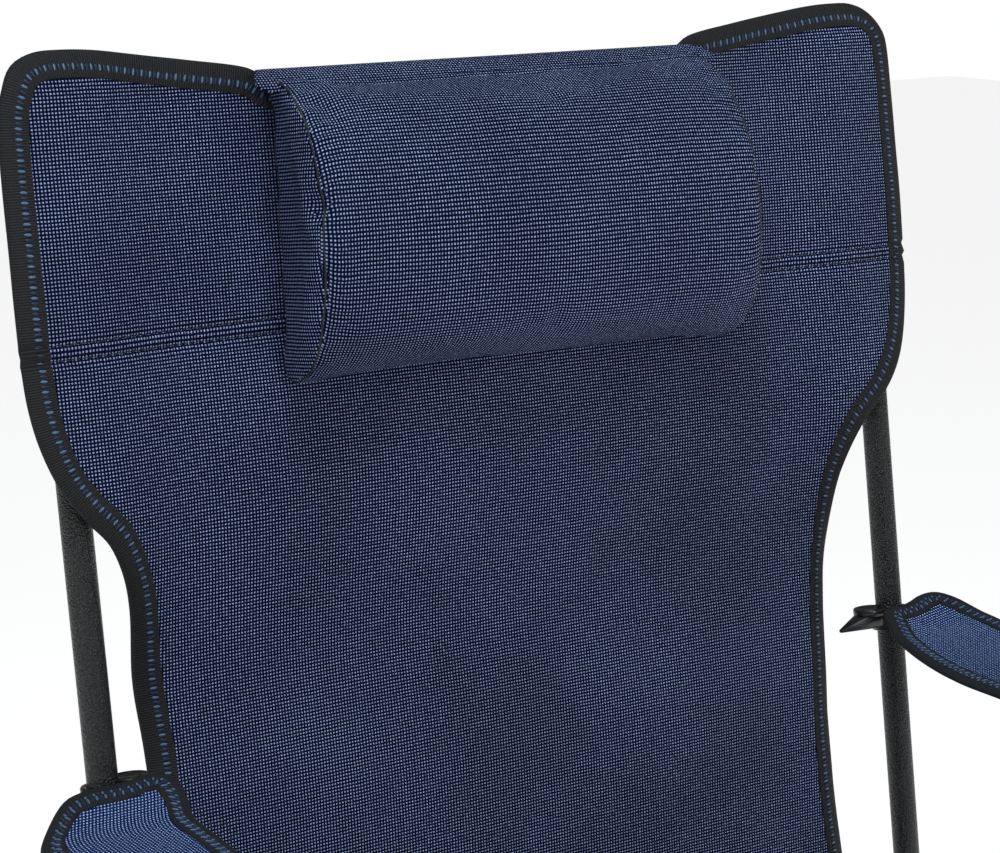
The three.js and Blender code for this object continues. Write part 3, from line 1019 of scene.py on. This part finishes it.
# %% [markdown]
# ## Arms
#
# Each arm is a bound strap slung from the rear post to the cap on the front post. It sags in the
# middle, and its rear end narrows and lies round the front of the post.

# %% Arms
ARM_REAR = 631.0
ARM_FRONT = 589.5
ARM_SAG = 22.0


def arm_surface(side):
    bulge = 20.0 if side < 0 else 3.0

    def surface(flat):
        flat = np.asarray(flat, float)
        a, t = flat[:, 0], -flat[:, 1]
        share = np.clip(t / 600, 0, 1)
        height = ARM_REAR + (ARM_FRONT - ARM_REAR) * share - 4 * ARM_SAG * share * (1 - share)
        height += (9 * (1 - smoothstep(4, 46, t))
                   - 4.0 * (a / 46) ** 2 * smoothstep(30, 120, t) * (1 - smoothstep(520, 600, t)))
        height += 6 * (side > 0) * np.clip(a / 46, 0, 1) * (1 - smoothstep(20, 120, t))
        height += ripples(flat, 55, 1.6, 21.0 + side) + ripples(flat, 18, 0.3, 31.0)
        shift = bulge * smoothstep(6, 60, t) * (1 - smoothstep(300, 590, t))
        return np.stack([side * (HALF + shift) + flat[:, 0], HALF - t, height], 1)
    return surface


ARM_FRONT_END = [(-46, 582), (-42, 600), (-28, 610), (0, 612), (28, 610), (42, 600), (46, 582)]
ARM_RIGHT_EDGE = [(46, 500), (46, 400), (46, 300), (46, 200), (46, 110), (46, 60),
                  (43, 30), (34, 13), (22, 9), (11, 11)]
ARM_REAR_END = [(1, 11.6), (-9, 11.6)]
ARM_LEFT_EDGE = {
    "left": [(-18, 13), (-29, 17), (-38, 29), (-44, 50), (-46, 90), (-46, 150), (-46, 300), (-46, 450)],
    "right": [(-17, 14), (-24, 24), (-34, 42), (-43, 68), (-49, 104), (-50, 150), (-49, 300), (-47, 450)],
}
arms, arm_trim = {}, {}
for tag, side in SIDES.items():
    corners = np.array(ARM_FRONT_END + ARM_RIGHT_EDGE + ARM_REAR_END + ARM_LEFT_EDGE[tag], float)
    outline = smooth_outline(corners * [1, -1], 4.0)
    surface = arm_surface(side)
    arms[tag] = cloth_sheet(f"arm_{tag}", outline, surface, 6.0, 2.6, WEAVE_BRIGHT)
    arm_trim[tag] = bind(f"arm_{tag}", outline, surface, 2.6, 13.0, 8.4, True, 2.7, 0.35)
    arm_trim[tag].append(stitch_row(f"arm_{tag}_second_row", outline, surface, 5.6, 2.7, 2.4, (2.4, 1.5, 0.5),
                                    [NAVY_THREAD, PALE_THREAD], True, 0.35))
    area = 0.5 * np.sum(outline[:, 0] * np.roll(outline[:, 1], -1)
                        - np.roll(outline[:, 0], -1) * outline[:, 1])
    up = surface_normals(surface, np.array([[0.0, -300.0]]))[0, 2]
    print(tag, "arm outline area", round(area), "normal up", round(float(up), 2))

# %% How the arms follow the fold
for tag, side in SIDES.items():
    body = f"front_{tag}_leg"
    for piece in [arms[tag], *arm_trim[tag]]:
        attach(piece, body)
        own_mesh(piece)
    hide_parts(f"arm_cloth_{tag}")

# %% [markdown]
# A short tape band goes round a post. The clip on the rear post has a beaked thumb tab.

# %% Tape band round a post
def post_band(name, side, end, radius, low, high, body):
    turns = 48
    section = [(radius - 0.8, low), (radius + 0.4, low), (radius + 0.9, low + 1), (radius + 0.9, high - 1),
               (radius + 0.4, high), (radius - 0.8, high)]
    band = turned(name, section, (side * HALF, end * HALF, 0), TAPE, turns)
    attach(band, body)
    return band


# %% Arm clips
CLIP_TOP = 639.0


def beak(name, side):
    """The tab: a hull of a few oval rings that shrink to the tip, with its edges rounded."""
    mesh = bmesh.new()
    for x, wide, low, high in BEAK_RINGS:
        for j in range(16):
            turn = 2 * math.pi * (j + 0.5) / 16
            rise = math.copysign(abs(math.sin(turn)) ** 0.5, math.sin(turn))
            mesh.verts.new(place(side * (HALF - x), HALF + math.cos(turn) * wide,
                                 (low + high) / 2 + rise * (high - low) / 2))
    hull = bmesh.ops.convex_hull(mesh, input=mesh.verts)
    loose = [v for v in hull["geom_interior"] + hull["geom_unused"] if isinstance(v, bmesh.types.BMVert)]
    bmesh.ops.delete(mesh, geom=list(set(loose)), context="VERTS")
    bmesh.ops.recalc_face_normals(mesh, faces=mesh.faces)
    for face in mesh.faces:
        face.smooth = True
    data = bpy.data.meshes.new(name)
    mesh.to_mesh(data)
    mesh.free()
    data.materials.append(PLASTIC)
    piece = bpy.data.objects.new(name, data)
    bpy.context.scene.collection.objects.link(piece)
    return piece


BEAK_RINGS = [
    (10.5, 9.0, CLIP_TOP - 15.0, CLIP_TOP - 2.0), (18, 9.6, CLIP_TOP - 14.2, CLIP_TOP - 1.8),
    (25, 8.6, CLIP_TOP - 13.2, CLIP_TOP - 3.0), (31, 6.2, CLIP_TOP - 12.8, CLIP_TOP - 5.8),
    (38, 4.0, CLIP_TOP - 12.8, CLIP_TOP - 8.6), (45, 1.8, CLIP_TOP - 12.9, CLIP_TOP - 10.6),
]


def clip_piece(tag, side):
    ring = [(9.35, CLIP_TOP - 17), (12.2, CLIP_TOP - 17), (12.9, CLIP_TOP - 16.2), (12.9, CLIP_TOP - 3),
            (12.2, CLIP_TOP - 2.2),
            (9.35, CLIP_TOP - 2.2)]
    disc = [(0.3, CLIP_TOP - 5), (10.8, CLIP_TOP - 5), (11.4, CLIP_TOP - 4.4), (11.4, CLIP_TOP - 0.9),
            (11.0, CLIP_TOP - 0.2),
            (10.2, CLIP_TOP), (9.4, CLIP_TOP - 0.3), (9.0, CLIP_TOP - 1.0), (5.6, CLIP_TOP - 1.2),
            (5.2, CLIP_TOP - 0.8),
            (4.6, CLIP_TOP - 0.8), (4.2, CLIP_TOP - 1.2), (0.3, CLIP_TOP - 1.3)]
    parts = [
        turned(f"clip_ring_{tag}", ring, (side * HALF, HALF, 0), PLASTIC, 48),
        beak(f"clip_tab_{tag}", side),
        turned(f"clip_disc_{tag}", disc, (side * (HALF - 17.5), HALF, 0), PLASTIC, 40, caps=True),
    ]
    for part in parts:
        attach(part, f"rear_{tag}_leg")
    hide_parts(f"arm_clip_{tag}")


for tag, side in SIDES.items():
    clip_piece(tag, side)
    grommet = turned(f"arm_grommet_{tag}",
                     [(9.3, 584.5), (13.5, 584.5), (14.5, 586), (14.5, 587.5), (9.3, 587.5)],
                     (side * HALF, -HALF, 0), PLASTIC, 40)
    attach(grommet, f"front_{tag}_leg")
print("arms and clips done")

# %% [markdown]
# ## Seat
#
# Two bound halves meet at a cross seam. Each follows its own hinge when the frame folds.

# %% Seat halves
SEAT_HINGE = HALF - 15
SEAT_CORNER = COLLAR + 8 + 16
SLOPE = math.tan(math.radians(8))


def seat_surface(way):
    def surface(flat):
        flat = np.asarray(flat, float)
        x, w = flat[:, 0], flat[:, 1]
        height = SEAT_CORNER + 1.5 - w * SLOPE
        height -= 10 * (1 - (x / 290) ** 2) * np.sin(np.clip(w, 0, 285) / 285 * math.pi / 2) + 1.2
        height += ripples(flat * [1, way], 70, 1.6, 41.0) + ripples(flat * [1, way], 24, 0.4, 43.0)
        return np.stack([x * way, way * (SEAT_HINGE - w), height], 1)
    return surface


SEAT_SIDE = [
    (0, 0.5), (150, 0.5), (270, -2), (284, 0), (287, 10), (286, 60), (283, 150), (281, 240), (281, 276),
    (279, 283), (270, 283.4), (150, 283.4),
]
seat_corners = SEAT_SIDE + [(0, 283.4)] + [(-x, w) for x, w in reversed(SEAT_SIDE[1:])]
for tag, way in (("rear", 1), ("front", -1)):
    outline = smooth_outline(np.array(seat_corners), 5.0)
    surface = seat_surface(way)
    seat = cloth_sheet(f"seat_{tag}_cloth", outline, surface, 9.0, 3.0, WEAVE)
    trim = bind(f"seat_{tag}", outline, surface, 3.0)
    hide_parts(f"seat_panel_{tag}")
    for piece in [seat, *trim]:
        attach(piece, f"seat_{tag}")
        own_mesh(piece)
    print(tag, "seat up", round(float(surface_normals(surface, np.array([[0.0, 100.0]]))[0, 2]), 2))

# %% Seat loops
for tag, side in SIDES.items():
    post_band(f"seat_loop_rear_{tag}", side, 1, 10.7, COLLAR + 9.5, COLLAR + 31, f"collar_rear_{tag}")

# %% [markdown]
# ## Floor and light

# %% Floor and lights
floor_mesh = bpy.data.meshes.new("floor")
floor_mesh.from_pydata([(-9, -9, 0), (9, -9, 0), (9, 9, 0), (-9, 9, 0)], [], [(0, 1, 2, 3)])
floor = bpy.data.objects.new("floor", floor_mesh)
bpy.context.scene.collection.objects.link(floor)
floor_material, nodes, links, shader = new_material("floor", (0.8, 0.8, 0.8), 0.9)
shader.inputs["Emission Color"].default_value = (1, 1, 1, 1)
shader.inputs["Emission Strength"].default_value = 0.78
floor_mesh.materials.append(floor_material)

world = bpy.data.worlds.new("studio")
world.use_nodes = True
world_nodes, world_links = world.node_tree.nodes, world.node_tree.links
background = world_nodes["Background"]
background.inputs["Color"].default_value = (1, 1, 1, 1)
light_path = world_nodes.new("ShaderNodeLightPath")
level = ramp_node(world_nodes, world_links, light_path.outputs["Is Camera Ray"], 0, 1, 0.14, 1.0)
world_links.new(level, background.inputs["Strength"])
bpy.context.scene.world = world
bpy.context.scene.view_settings.view_transform = "Standard"


def soft_light(name, location, target, size, power, color=(1, 1, 1)):
    data = bpy.data.lights.new(name, "AREA")
    data.color = color
    data.size = size
    data.energy = power
    lamp = bpy.data.objects.new(name, data)
    lamp.location = location
    lamp.rotation_euler = (Vector(target) - Vector(location)).to_track_quat("-Z", "Y").to_euler()
    bpy.context.scene.collection.objects.link(lamp)


soft_light("key", (-1.6, -2.4, 2.6), (0, 0.1, 0.8), 1.3, 9)
soft_light("fill", (2.4, -1.6, 1.6), (0, 0.1, 0.8), 1.6, 5)
soft_light("top", (-0.5, -0.3, 3.2), (0, 0.1, 0.8), 1.5, 38, (0.86, 0.97, 1.0))
soft_light("streak", (-0.35, -2.3, 1.5), (0, 0.1, 0.8), 0.35, 9)
